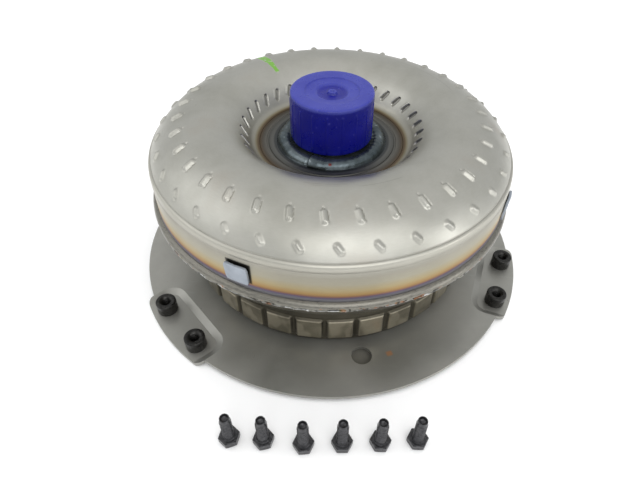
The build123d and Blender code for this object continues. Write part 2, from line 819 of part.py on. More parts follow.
# ---------------------------------------------------------------- transport cap and loose bolts
def transport_cap():
    """Plastic cap: ribbed skirt, inner collar on the pump hub, dished top."""
    z0, z1 = CAP_Z
    cap = spin(
        [
            seg((CAP_R - CAP_WALL, z0), (CAP_R, z0)),
            seg((CAP_R, z0), (CAP_R - 0.4, z1 - 1.6)),
            arc_through((CAP_R - 0.4, z1 - 1.6), (CAP_R - 0.9, z1 - 0.5), (CAP_R - 2.0, z1)),
            seg((CAP_R - 2.0, z1), (20.5, z1)),
            seg((20.5, z1), (19.0, z1 - 1.2)),
            seg((19.0, z1 - 1.2), (12.5, z1 - 1.2)),
            seg((12.5, z1 - 1.2), (9.0, z1 - 2.6)),
            seg((9.0, z1 - 2.6), (3.2, z1 - 2.6)),
            seg((3.2, z1 - 2.6), (2.9, z1 - 1.4)),
            seg((2.9, z1 - 1.4), (0, z1 - 1.4)),
            seg((0, z1 - 1.4), (0, z1 - 5.0)),
            seg((0, z1 - 5.0), (CAP_R - CAP_WALL - 0.6, z1 - 5.0)),
            seg((CAP_R - CAP_WALL - 0.6, z1 - 5.0), (CAP_R - CAP_WALL, z0)),
        ]
    )
    cap += ring(JOURNAL_R + 0.3, JOURNAL_R + 1.7, z0 + 3.0, z1 - 4.5)
    for web in around(block(JOURNAL_R + 1.4, CAP_R - 1.0, -0.6, 0.6, z0 + 3.0, z1 - 4.5), 6):
        cap += web
    rib = block(CAP_R - 0.8, CAP_R + 0.25, -0.5, 0.5, z0 + 0.5, z1 - 3.0)
    return cap + group(around(rib, CAP_RIBS))


node("transport_cap", transport_cap())


def mounting_bolt():
    """Hex bolt standing on its head, with a tapered, cupped point."""
    across = BOLT_AF / sqrt(3) * 2
    head = extrude(RegularPolygon(across / 2, 6), amount=BOLT_HEAD_H)
    head &= spin(
        outline(
            [
                (0, 0),
                (BOLT_AF / 2 - 0.2, 0),
                (across / 2 + 0.1, 0.9),
                (across / 2 + 0.1, BOLT_HEAD_H),
                (0, BOLT_HEAD_H),
            ]
        )
    )
    top = BOLT_HEAD_H + BOLT_SHANK_L
    shank = spin(
        outline(
            [
                (0, BOLT_HEAD_H - 0.1),
                (BOLT_AF / 2 - 0.4, BOLT_HEAD_H - 0.1),
                (BOLT_AF / 2 - 0.4, BOLT_HEAD_H + 0.5),
                (BOLT_SHANK_R, BOLT_HEAD_H + 0.9),
                (BOLT_SHANK_R, top - BOLT_TIP_L),
                (BOLT_TIP_R, top - BOLT_TIP_L + 2.0),
                (BOLT_TIP_R, top),
                (BOLT_TIP_R - 0.9, top),
                (BOLT_TIP_R - 1.8, top - 1.4),
                (0, top - 1.4),
            ]
        )
    )
    return head + shank


bolt = mounting_bolt()
node("mounting_bolts", group([Pos(x, y, 0) * Rot(0, 0, turn) * bolt for x, y, turn in BOLT_SPOTS]))

# ---------------------------------------------------------------- output
os.makedirs("parts", exist_ok=True)
for name, shape in NODES.items():
    export_step(shape, f"parts/{name}.step")
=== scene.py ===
import json

import bmesh
import bpy
import numpy as np
from mathutils import Matrix, Vector

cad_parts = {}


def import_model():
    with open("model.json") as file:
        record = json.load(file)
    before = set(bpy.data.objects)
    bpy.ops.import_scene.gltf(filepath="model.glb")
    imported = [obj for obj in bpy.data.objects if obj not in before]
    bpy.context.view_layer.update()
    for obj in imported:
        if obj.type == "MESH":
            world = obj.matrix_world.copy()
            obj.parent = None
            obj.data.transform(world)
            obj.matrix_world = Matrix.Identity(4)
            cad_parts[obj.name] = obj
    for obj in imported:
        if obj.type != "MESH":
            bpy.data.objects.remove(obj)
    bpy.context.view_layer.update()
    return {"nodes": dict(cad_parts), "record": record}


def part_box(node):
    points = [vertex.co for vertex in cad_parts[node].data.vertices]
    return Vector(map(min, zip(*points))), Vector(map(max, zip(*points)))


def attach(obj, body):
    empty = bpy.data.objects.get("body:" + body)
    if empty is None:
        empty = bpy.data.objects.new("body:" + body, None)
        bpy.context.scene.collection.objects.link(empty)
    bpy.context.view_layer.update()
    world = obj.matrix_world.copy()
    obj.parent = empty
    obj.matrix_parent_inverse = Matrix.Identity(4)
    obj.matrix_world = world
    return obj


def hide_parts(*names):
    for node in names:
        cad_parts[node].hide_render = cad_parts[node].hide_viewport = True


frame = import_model()

# Lengths in this script are millimetres; meshes are scaled to metres when they are made.
MM = 0.001
TAU = 2 * np.pi
SEED = 11
SHARP_ANGLE = 38.0                  # degrees; steeper edges stay sharp
NODES = frame["nodes"]


# ---------------------------------------------------------------- sizes taken from the frame
def top(node):
    """Highest z of a CAD node, mm."""
    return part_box(node)[1][2] / MM


def low(node):
    """Lowest z of a CAD node, mm."""
    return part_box(node)[0][2] / MM


def reach(node):
    """Largest x of a CAD node, mm: the radius of a round one."""
    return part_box(node)[1][0] / MM


HOUSING = "housing"
BODY_R = 143.0                      # skirt of the impeller shell
SHELL_T = 3.0
CREST = (97.0, top("impeller_shell"))
OUTER_ARC_R = 52.0
INNER_ARC_R = 33.3
FOOT_ARC_R = 8.6
DISC_R = reach("impeller_hub")
DISC_TOP = 116.9
CREASE_ANGLE = 32.2                 # degrees round the outer arc
SKIRT_LOW = low("impeller_shell")
GROOVE_LOW = 111.2                  # shallow groove round the skirt
DRUM_R = 120.7
COVER_BORE_R = 20.6
COVER_FLOOR_TOP = 9.0
DRUM_TEETH = 32
TOOTH_RISE = 2.5
TOOTH_PHASE = -63.0
TOOTH_Z = (15.0, 36.0)
CAP_LOW = low("transport_cap")
CAP_TOP = top("transport_cap")
CAP_R = 32.3
MARKS = 34                          # vane marks in each ring on the shell
NUT_PCR = 160.5
NUT_HALF_ANGLE = 8.3
PAD_ANGLES = (-138.55, -18.55, 101.45)
NUT_TOP = top("weld_nuts")
NUT_LOW = low("weld_nuts")
BOLT_TOP = top("mounting_bolts")


# ---------------------------------------------------------------- mesh tools
def arc(centre, radius, start, end, count):
    """Points of a section circle, angles in degrees."""
    angles = np.radians(np.linspace(start, end, count))
    return [(centre[0] + radius * np.cos(a), centre[1] + radius * np.sin(a)) for a in angles]


def run(p0, p1, count):
    """Evenly spaced points from p0 to p1, without the last."""
    return [tuple(np.add(p0, np.subtract(p1, p0) * t)) for t in np.arange(count) / count]


def polar_mesh(name, line, count, relief=None, warp=None, body=HOUSING):
    """Turns a closed anticlockwise (r, z) outline about Z and returns the object.

    relief(theta, s, r, z) raises the skin along its normal; warp(theta, r, z) moves it freely.
    The depth of every hollow is kept on the mesh as "hollow", for the materials to paint shade into.
    """
    line = np.array(line, float)
    theta = np.arange(count)[None, :] * (TAU / count)
    ahead = np.roll(line, -1, 0)
    behind = np.roll(line, 1, 0)
    tangent = ahead - behind
    tangent /= np.maximum(np.linalg.norm(tangent, axis=1), 1e-9)[:, None]
    step = np.linalg.norm(line - behind, axis=1)
    step[0] = 0
    s = np.cumsum(step)[:, None]
    r = line[:, :1] + 0 * theta
    z = line[:, 1:] + 0 * theta
    hollow = None
    if relief:
        height = relief(theta, s, line[:, :1], line[:, 1:])
        hollow = np.maximum(-height, 0).ravel()
        r = r + height * tangent[:, 1:]
        z = z - height * tangent[:, :1]
    if warp:
        r, z = warp(theta, r, z)
    points = np.stack([r * np.cos(theta), r * np.sin(theta), z], -1).reshape(-1, 3) * MM
    rows = len(line)
    i = np.arange(rows)[:, None]
    j = np.arange(count)[None, :]
    i2 = (i + 1) % rows
    j2 = (j + 1) % count
    quads = np.stack([i * count + j, i * count + j2, i2 * count + j2, i2 * count + j], -1)
    return finish_mesh(name, points, quads.reshape(-1, 4), body, hollow)


def finish_mesh(name, points, faces, body, hollow=None):
    """Makes the object, welds doubled points and sets smooth shading with real edges kept."""
    mesh = bpy.data.meshes.new(name)
    mesh.from_pydata(points.tolist(), [], faces.tolist())
    if hollow is not None:
        depths = mesh.attributes.new("hollow", "FLOAT", "POINT")
        depths.data.foreach_set("value", hollow.astype(np.float32))
    work = bmesh.new()
    work.from_mesh(mesh)
    bmesh.ops.remove_doubles(work, verts=work.verts, dist=2e-6)
    bmesh.ops.dissolve_degenerate(work, edges=work.edges, dist=1e-7)
    work.to_mesh(mesh)
    work.free()
    mesh.polygons.foreach_set("use_smooth", [True] * len(mesh.polygons))
    mesh.set_sharp_from_angle(angle=np.radians(SHARP_ANGLE))
    piece = bpy.data.objects.new(name, mesh)
    bpy.context.scene.collection.objects.link(piece)
    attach(piece, body)
    return piece


def join(pieces, name):
    """One object from several that ride on the same body."""
    work = bmesh.new()
    for piece in pieces:
        work.from_mesh(piece.data)
    target = pieces[0]
    work.to_mesh(target.data)
    work.free()
    for piece in pieces[1:]:
        bpy.data.objects.remove(piece)
    target.name = name
    target.data.name = name
    return target


def copies(piece, places, name):
    """One object that repeats a mesh at several (x, y, turn in degrees) places."""
    work = bmesh.new()
    for x, y, turn in places:
        part = piece.data.copy()
        move = Matrix.Translation((x * MM, y * MM, 0))
        part.transform(move @ Matrix.Rotation(np.radians(turn), 4, "Z"))
        work.from_mesh(part)
    work.to_mesh(piece.data)
    work.free()
    piece.name = name
    piece.data.name = name
    return piece


def smooth(x, lo, hi):
    """Smooth step from 0 at lo to 1 at hi."""
    t = np.clip((x - lo) / (hi - lo), 0, 1)
    return t * t * (3 - 2 * t)


def near(theta, count, phase):
    """Signed angle in radians from the closest of count evenly spaced angles."""
    pitch = TAU / count
    return (theta - np.radians(phase) + pitch / 2) % pitch - pitch / 2


def capsule(u, v, half, width):
    """Rounded bar: 1 on its spine, 0 at its edge."""
    d = np.hypot(np.maximum(np.abs(u) - half, 0), v) / width
    return np.clip(1 - d * d, 0, 1) ** 2


def slot(u, v, half, width):
    """Flat-bottomed bar with steep sides: 1 inside, 0 at its edge."""
    return smooth(1 - np.hypot(np.maximum(np.abs(u) - half, 0), v) / width, 0.0, 0.4)


def ripple(theta, low_k, high_k, seed):
    """Irregular but repeatable wave round the axis, about -1 to 1."""
    rng = np.random.default_rng(seed)
    total = 0 * theta
    orders = np.arange(low_k, high_k)
    for k in orders:
        total = total + np.cos(k * theta + rng.uniform(0, TAU)) * rng.uniform(0.4, 1.0)
    return total / np.sqrt(len(orders))


# ---------------------------------------------------------------- impeller shell
OUTER_C = (CREST[0], CREST[1] - OUTER_ARC_R)
INNER_C = (CREST[0], CREST[1] - INNER_ARC_R)
FOOT_C = (DISC_R + 0.3, DISC_TOP + FOOT_ARC_R)
_gap = np.subtract(INNER_C, FOOT_C)
WALL_ANGLE = np.degrees(
    np.arctan2(_gap[1], _gap[0]) - np.arccos((INNER_ARC_R + FOOT_ARC_R) / np.hypot(*_gap))
)


def shell_outline():
    """Skirt, rolled rim, torus, bowl and foot outside, then back along the inside."""
    crease = arc(OUTER_C, OUTER_ARC_R, CREASE_ANGLE, CREASE_ANGLE, 1)[0]
    rim_z = crease[1] - 4.0
    skin = run((BODY_R, SKIRT_LOW), (BODY_R, GROOVE_LOW), 10)
    skin += [(BODY_R, GROOVE_LOW), (BODY_R - 0.25, 111.8), (BODY_R - 0.25, 112.4), (BODY_R, 113.0)]
    skin += [(BODY_R, rim_z), (BODY_R - 0.12, rim_z + 1.2), (BODY_R - 0.45, rim_z + 2.4)]
    skin += [(BODY_R - 1.0, rim_z + 3.4), (crease[0] - 0.2, rim_z + 3.95)]
    skin += [(crease[0] - 0.5, rim_z + 4.1)]
    skin += arc(OUTER_C, OUTER_ARC_R, CREASE_ANGLE + 1.0, 90, 82)[:-1]
    skin += arc(INNER_C, INNER_ARC_R, 90, 180 + WALL_ANGLE, 46)
    foot = arc(FOOT_C, FOOT_ARC_R, WALL_ANGLE, -90, 9)
    skin += run(skin[-1], foot[0], 12)[1:] + foot
    inside = arc(FOOT_C, FOOT_ARC_R + SHELL_T, -90, WALL_ANGLE, 5)
    inside += arc(INNER_C, INNER_ARC_R - SHELL_T, 180 + WALL_ANGLE, 90, 8)
    inside += arc(OUTER_C, OUTER_ARC_R - SHELL_T, 90, CREASE_ANGLE, 10)[1:]
    inside += [(BODY_R - SHELL_T, rim_z), (BODY_R - SHELL_T, SKIRT_LOW)]
    return skin + inside, len(skin)


SHELL_LINE, SKIN_COUNT = shell_outline()
MIDDLE_RING = (118.8, 138.0, -91.6)      # r, z, angle of one mark
OUTER_RING = (134.9, 126.0, -87.4)
INNER_RING = (68.8, 127.2, -89.1)


def shell_relief(theta, s, r, z):
    """Three rings of vane marks and the slight waviness of a pressing."""
    on_skin = (np.arange(len(s)) < SKIN_COUNT)[:, None]

    def frame_of(ring, skew):
        """Distances along and across each mark of a ring."""
        off = np.hypot(r[:, 0] - ring[0], z[:, 0] - ring[1]) + 1e3 * ~on_skin[:, 0]
        start = s[np.argmin(off), 0]
        u = start - s + 0 * theta
        v = r * near(theta, MARKS, ring[2])
        k = np.radians(skew)
        return u * np.cos(k) + v * np.sin(k), v * np.cos(k) - u * np.sin(k)

    u, v = frame_of(MIDDLE_RING, 9)
    height = 1.9 * capsule(u, v + 0.2, 3.0, 3.0)
    height -= 0.5 * capsule(u - 0.4, v - 2.7, 4.0, 0.9)
    height -= 0.6 * capsule(u + 6.2, v, 0.3, 1.3)
    u, v = frame_of(OUTER_RING, 38)
    height += 1.5 * capsule(u, v, 2.0, 3.0)
    u, v = frame_of(INNER_RING, -24)
    height -= 1.1 * slot(u, v, 3.4, 1.9)
    height += 0.25 * capsule(u, v - 2.8, 3.0, 1.4)
    torus = smooth(z, 117.5, 121.0) * smooth(r, 62, 70)
    height += torus * 0.07 * ripple(theta, 2, 9, SEED)
    return height * on_skin


shell = polar_mesh("impeller_skin", SHELL_LINE, MARKS * 40, relief=shell_relief)
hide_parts("impeller_shell")


# ---------------------------------------------------------------- front cover with its clutch drum
def drum_outline():
    """Cover floor, drum, shoulder and rim, then the inside."""
    floor_low = low("front_cover")
    rim_r = BODY_R - 3.1
    rim_top = top("front_cover")
    skin = [(COVER_BORE_R, floor_low), (60, floor_low), (100, floor_low)]
    skin += arc((DRUM_R - 7.5, floor_low + 7.5), 7.5, -90, 0, 9)
    skin += run((DRUM_R, floor_low + 8.2), (DRUM_R, TOOTH_Z[0] - 1.0), 2)
    skin += run((DRUM_R, TOOTH_Z[0] - 1.0), (DRUM_R, TOOTH_Z[0] + 2.0), 10)
    skin += run((DRUM_R, TOOTH_Z[0] + 2.0), (DRUM_R, TOOTH_Z[1] - 2.0), 8)
    skin += run((DRUM_R, TOOTH_Z[1] - 2.0), (DRUM_R, TOOTH_Z[1] + 1.5), 12)
    skin += run((DRUM_R, TOOTH_Z[1] + 1.5), (DRUM_R, 45.0), 3)
    skin += [(DRUM_R, 45.0), (DRUM_R + 0.5, 46.3), (DRUM_R + 1.6, 47.8)]
    skin += run((DRUM_R + 1.6, 47.8), (rim_r - 1.4, 66.4), 5)
    skin += [(rim_r - 1.4, 66.4), (rim_r - 0.4, 67.8), (rim_r, 69.5)]
    skin += [(rim_r, rim_top)]
    inner = rim_r - 2.9
    wall = DRUM_R - 3.0
    inside = [(inner, rim_top), (inner, 69.3), (wall, 47.3), (wall, 13.0), (wall - 1.1, 10.1)]
    inside += [(wall - 4, COVER_FLOOR_TOP), (COVER_BORE_R, COVER_FLOOR_TOP)]
    return skin + inside, len(skin)


DRUM_LINE, DRUM_SKIN = drum_outline()
TOOTH_SHARE = 0.85                  # of the pitch; wider than in the CAD, as in the photo


def drum_relief(theta, s, r, z):
    """Pressed teeth with rounded edges on the drum."""
    half = 0.5 * TOOTH_SHARE * TAU / DRUM_TEETH * DRUM_R
    across = np.abs(near(theta, DRUM_TEETH, TOOTH_PHASE)) * DRUM_R
    wide = 1 - smooth(across, half - 1.5, half + 1.1)
    z0, z1 = TOOTH_Z
    tall = smooth(z, z0 - 0.8, z0 + 1.2) * (1 - smooth(z, z1 - 1.2, z1 + 0.8))
    on_skin = (np.arange(len(s)) < DRUM_SKIN)[:, None] & (r > DRUM_R - 0.1) & (r < DRUM_R + 0.1)
    dish = 0.25 * np.clip(1 - (across / half) ** 2, 0, 1)
    uneven = 0.07 * ripple(theta, 3, 30, SEED + 1)
    return (TOOTH_RISE - 0.1 - dish + uneven) * wide * tall * on_skin


drum = polar_mesh("clutch_drum", DRUM_LINE, DRUM_TEETH * 28, relief=drum_relief)
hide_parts("front_cover")


# ---------------------------------------------------------------- seam weld
SEAM_PITS = [                       # angle in degrees, size
    (-127.0, 2.4), (-100.0, 1.6), (-96.5, 2.2), (-88.5, 2.6), (-86.5, 1.9),
    (-66.0, 2.3), (-63.5, 1.4), (-52.0, 1.2), (-120.5, 1.5), (-20.0, 1.8),
    (35.0, 2.2), (120.0, 2.0), (168.0, 1.7), (-170.0, 2.0),
]


def seam_relief(theta, s, r, z):
    """Smooth laps drawn along the joint, a few lumps and a few pits."""
    outside = smooth(r, BODY_R - 0.5, BODY_R + 1.2)
    lap = np.cos(theta * 230 + 0.8 * (z - 81.0))
    thread = np.cos(2.6 * (z - 80.0) + 2.5 * ripple(theta, 3, 40, SEED + 3))
    rough = 0.5 + 0.5 * np.clip(ripple(theta, 2, 9, SEED + 5) * 1.5, -1, 1)
    lower = 1 - smooth(z, 80.2, 82.2)
    lumps = 0.10 * ripple(theta, 30, 150, SEED + 2) * np.cos(0.9 * (z - 80.0)) * lower
    height = (0.04 * lap + 0.07 * thread) * (0.3 + 0.7 * lower) + (0.3 + 1.2 * rough) * lumps - 0.3
    for angle, size in SEAM_PITS:
        across = ((theta - np.radians(angle) + np.pi) % TAU - np.pi) * BODY_R
        pit = capsule(across, (z - 80.6) * 1.3, size * 1.2, size * 0.8)
        spatter = capsule(across - 2.4 * size, (z - 80.2) * 1.2, size * 0.8, size)
        height = height - 1.3 * pit + 0.5 * spatter
    return np.minimum(height, 0.1) * outside


seam_line = [(BODY_R - 3.1, 76.8)]
seam_line += arc((BODY_R - 0.4, 81.2), 4.4, -78, 68, 18)
seam_line += [(BODY_R, 85.4), (BODY_R, 81.0), (BODY_R - 3.1, 81.0)]
seam = polar_mesh("seam_bead", seam_line, 1800, relief=seam_relief)
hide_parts("seam_weld")


# ---------------------------------------------------------------- hub weld bead
BEAD_START = -116.0                 # degrees, where the bead overlaps its own start


def bead_relief(theta, s, r, z):
    """Wide lazy ripples, an uneven edge and the overlap of the last turn."""
    edge = smooth(z, 117.0, 118.0)
    wave = 0.07 * np.cos(theta * 46 + 0.3 * (r - 36)) + 0.36 * ripple(theta, 3, 12, SEED + 4)
    after = (theta - np.radians(BEAD_START)) % TAU
    lap = 1.0 * (1 - smooth(after, 0.0, 0.62)) * smooth(after, 0.0, 0.05)
    notch = -0.8 * (1 - smooth(np.minimum(after, TAU - after), 0.0, 0.05))
    return (wave + lap + notch - 0.6) * edge


bead_line = [(44.2, DISC_TOP)]
bead_line += arc((37.2, 115.6), 6.6, 12, 128, 20)
bead_line += [(31.0, 120.9), (27.9, 120.4), (27.1, 119.6), (27.1, DISC_TOP)]
bead = polar_mesh("hub_bead", bead_line, 720, relief=bead_relief)
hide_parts("hub_weld_bead")


# ---------------------------------------------------------------- weld nuts
NUT_R = 8.25
THREAD_R = 3.4                      # core of the M8 thread
THREAD_PITCH = 1.25
THREAD_DEPTH = 0.5


def nut_warp(theta, r, z):
    """Helical thread in the bore."""
    phase = (z / THREAD_PITCH - theta / TAU) % 1.0
    cut = THREAD_DEPTH * (1 - np.abs(2 * phase - 1))
    inside = (r < THREAD_R + 0.05) & (z > NUT_LOW + 0.3)
    return np.where(inside, r + cut, r), z


nut_line = [(THREAD_R + 1.0, NUT_LOW), (7.6, NUT_LOW), (8.1, NUT_LOW + 0.3), (NUT_R, NUT_LOW + 1.0)]
nut_line += run((NUT_R, NUT_LOW + 1.0), (NUT_R, NUT_TOP - 1.0), 3)
nut_line += arc((7.15, NUT_TOP - 1.1), 1.1, 0, 90, 6)
nut_line += [(THREAD_R + 1.9, NUT_TOP), (THREAD_R + 1.5, NUT_TOP - 0.15)]
nut_line += [(THREAD_R + 0.2, NUT_TOP - 1.5)]
nut_line += run((THREAD_R, NUT_TOP - 1.7), (THREAD_R, NUT_LOW + 0.2), 42)
nut = polar_mesh("nut", nut_line, 48, warp=nut_warp)
spots = []
for pad in PAD_ANGLES:
    for side in (-1, 1):
        a = np.radians(pad + side * NUT_HALF_ANGLE)
        spots.append((NUT_PCR * np.cos(a), NUT_PCR * np.sin(a), 40 * side + pad))
nuts = copies(nut, spots, "threaded_weld_nuts")
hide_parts("weld_nuts")


# ---------------------------------------------------------------- transport cap
CAP_RIBS = 18


def cap_relief(theta, s, r, z):
    """Grip ribs on the skirt, each with a rounded top end."""
    outer = smooth(r, CAP_R - 0.6, CAP_R - 0.35)
    across = near(theta, CAP_RIBS, 4.0) * CAP_R
    rib = capsule(np.maximum(z - (CAP_TOP - 6.5), 0), across, 0.5, 0.95)
    rib = rib * smooth(z, CAP_LOW + 0.4, CAP_LOW + 1.0)
    return (0.42 * rib - 0.2) * outer


def cap_outline():
    """Skirt, rolled top edge, recessed ring, dish and nub; collar inside."""
    line = [(CAP_R - 1.5, CAP_LOW), (CAP_R - 0.3, CAP_LOW), (CAP_R, CAP_LOW + 0.5)]
    line += run((CAP_R, CAP_LOW + 1.0), (CAP_R - 0.1, CAP_TOP - 12), 5)
    line += run((CAP_R - 0.1, CAP_TOP - 12), (CAP_R - 0.2, CAP_TOP - 2.2), 16)
    line += arc((CAP_R - 2.2, CAP_TOP - 2.0), 2.0, 0, 90, 8)
    line += [(CAP_R - 4.0, CAP_TOP - 0.05), (22.0, CAP_TOP - 0.25)]
    line += [(20.9, CAP_TOP - 0.35), (20.3, CAP_TOP - 1.1), (19.6, CAP_TOP - 1.3), (14.0, CAP_TOP - 1.45)]
    line += [(12.4, CAP_TOP - 1.6), (11.6, CAP_TOP - 2.3), (10.8, CAP_TOP - 2.9), (9.4, CAP_TOP - 3.1)]
    line += [(5.0, CAP_TOP - 3.2), (4.0, CAP_TOP - 3.0), (3.5, CAP_TOP - 2.2), (3.2, CAP_TOP - 1.2)]
    line += [(2.5, CAP_TOP - 0.9), (1.7, CAP_TOP - 1.0), (1.2, CAP_TOP - 1.7), (0.0, CAP_TOP - 1.9)]
    roof = CAP_TOP - 4.6
    line += [(0.0, roof), (27.3, roof), (27.3, CAP_LOW + 3), (28.6, CAP_LOW + 3)]
    line += [(28.6, roof), (29.5, roof)]
    return line


cap = polar_mesh("ribbed_cap", cap_outline(), 480, relief=cap_relief, body="cap")
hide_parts("transport_cap")


# ---------------------------------------------------------------- balance weights
WEIGHT_ANGLES = (-114.4, -23.0)     # front and side, degrees
WEIGHT_GAP = 0.12                   # back face off the skirt
WEIGHT_THICK = 2.1                  # front face off the skirt


def weight(name, angle, width, height, foot_z, lean):
    """Sheet steel tab, creased down its middle, welded at its foot and leaning off the skirt."""
    cols = np.linspace(-0.5, 0.5, 9)
    rows = np.linspace(0, 1, 7)
    work = bmesh.new()
    grids = []
    for depth in (WEIGHT_GAP, WEIGHT_THICK):
        grid = []
        for t in rows:
            line = []
            for c in cols:
                corner = 0.6 * (abs(c) * 2) ** 14 * (abs(2 * t - 1)) ** 14
                y = c * width * (1 - 0.04 * (abs(2 * t - 1)) ** 12)
                bend = 0.9 * abs(c) * 2
                x = BODY_R + depth - bend * 0.55 + np.tan(np.radians(lean)) * t * height
                x = max(x, np.sqrt(BODY_R**2 - y * y) + 0.08 + (depth - WEIGHT_GAP))
                z = foot_z + t * height * (1 - 0.02 * (abs(c) * 2) ** 12)
                line.append(work.verts.new((x * MM, (y - np.sign(c) * corner) * MM, z * MM)))
            grid.append(line)
        grids.append(grid)
    back, front = grids
    nr, nc = len(rows), len(cols)
    for i in range(nr - 1):
        for j in range(nc - 1):
            work.faces.new([front[i][j], front[i][j + 1], front[i + 1][j + 1], front[i + 1][j]])
            work.faces.new([back[i][j], back[i + 1][j], back[i + 1][j + 1], back[i][j + 1]])
    for j in range(nc - 1):
        work.faces.new([back[0][j], back[0][j + 1], front[0][j + 1], front[0][j]])
        work.faces.new([front[-1][j], front[-1][j + 1], back[-1][j + 1], back[-1][j]])
    for i in range(nr - 1):
        work.faces.new([front[i][0], front[i + 1][0], back[i + 1][0], back[i][0]])
        work.faces.new([back[i][-1], back[i + 1][-1], front[i + 1][-1], front[i][-1]])
    bmesh.ops.recalc_face_normals(work, faces=work.faces)
    rim = [e for e in work.edges if e.calc_face_angle(0) > 0.9]
    bmesh.ops.bevel(work, geom=rim, offset=0.28 * MM, segments=2, affect="EDGES", profile=0.5)
    bmesh.ops.rotate(work, verts=work.verts, matrix=Matrix.Rotation(np.radians(angle), 3, "Z"))
    mesh = bpy.data.meshes.new(name)
    work.to_mesh(mesh)
    work.free()
    mesh.polygons.foreach_set("use_smooth", [True] * len(mesh.polygons))
    mesh.set_sharp_from_angle(angle=np.radians(30))
    piece = bpy.data.objects.new(name, mesh)
    bpy.context.scene.collection.objects.link(piece)
    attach(piece, HOUSING)
    return piece


front_foot = low("balance_weight_front") + 2.0
side_foot = low("balance_weight_side") + 1.5
front_weight = weight("front_weight", WEIGHT_ANGLES[0], 17.4, 16.2, front_foot, 4.5)
side_weight = weight("side_weight", WEIGHT_ANGLES[1], 18.0, 17.2, side_foot, 2.6)
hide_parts("balance_weight_front")
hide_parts("balance_weight_side")


# ---------------------------------------------------------------- loose bolts
BOLT_HEAD_H = 5.3
BOLT_AF = 13.0
BOLT_SPOTS = [                      # x, y, turn in degrees
    (-66.4, -196.3, 20.0),
    (-42.7, -197.5, 15.0),
    (-15.1, -200.2, 7.0),
    (11.3, -198.7, 1.0),
    (37.6, -197.6, -2.0),
    (63.4, -195.7, -1.0),
]


def head_warp(theta, r, z):
    """Hexagon with the corners cut by a chamfer cone."""
    flat = BOLT_AF / 2 / np.cos(near(theta, 6, 30.0))
    cone = 6.45 + 1.9 * z
    upper = 7.35 + 1.9 * (BOLT_HEAD_H - z)
    limit = np.minimum(np.minimum(flat, cone), upper)
    return np.where(r > 6.2, np.minimum(r, limit), r), z


def shank_warp(theta, r, z):
    """Helical thread up to the plain point."""
    phase = (z / THREAD_PITCH - theta / TAU) % 1.0
    cut = 0.34 * (1 - np.abs(2 * phase - 1))
    on_thread = (r > 3.9) & (z > BOLT_HEAD_H + 2.2) & (z < BOLT_TOP - 5.0)
    return np.where(on_thread, r - cut, r), z


head_line = [(0, 0.0), (3, 0.0), (6.25, 0.0), (6.45, 0.02)]
head_line += run((7.6, 0.0), (7.6, 1.0), 5) + run((7.6, 1.0), (7.6, BOLT_HEAD_H - 0.5), 4)
head_line += run((7.6, BOLT_HEAD_H - 0.5), (7.6, BOLT_HEAD_H), 4)
head_line += [(6.25, BOLT_HEAD_H), (6.05, BOLT_HEAD_H + 0.35), (4.7, BOLT_HEAD_H + 0.35)]
head_line += [(0, BOLT_HEAD_H + 0.3)]
head = polar_mesh("head", head_line, 96, warp=head_warp, body="loose_bolts")
shank_line = [(0, BOLT_HEAD_H), (4.9, BOLT_HEAD_H + 0.2), (4.3, BOLT_HEAD_H + 0.7)]
shank_line += [(4.0, BOLT_HEAD_H + 1.4)]
shank_line += run((4.0, BOLT_HEAD_H + 1.5), (4.0, BOLT_TOP - 4.6), 100)
shank_line += [(4.0, BOLT_TOP - 4.6), (3.85, BOLT_TOP - 4.2), (3.45, BOLT_TOP - 3.0)]
shank_line += [(3.35, BOLT_TOP - 2.6)]
shank_line += [(3.35, BOLT_TOP - 0.5), (3.2, BOLT_TOP - 0.1), (3.0, BOLT_TOP), (2.75, BOLT_TOP - 0.1)]
shank_line += [(2.6, BOLT_TOP - 0.7), (2.3, BOLT_TOP - 2.2), (1.3, BOLT_TOP - 2.9), (0, BOLT_TOP - 3.1)]
shank = polar_mesh("shank", shank_line, 40, warp=shank_warp, body="loose_bolts")
bolts = copies(join([head, shank], "bolt"), BOLT_SPOTS, "threaded_bolts")
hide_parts("mounting_bolts")


# ---------------------------------------------------------------- material tools
def srgb(r, g, b):
    """Linear colour from 0-255 display values."""
    return tuple(((c / 255) ** 2.2) for c in (r, g, b)) + (1.0,)


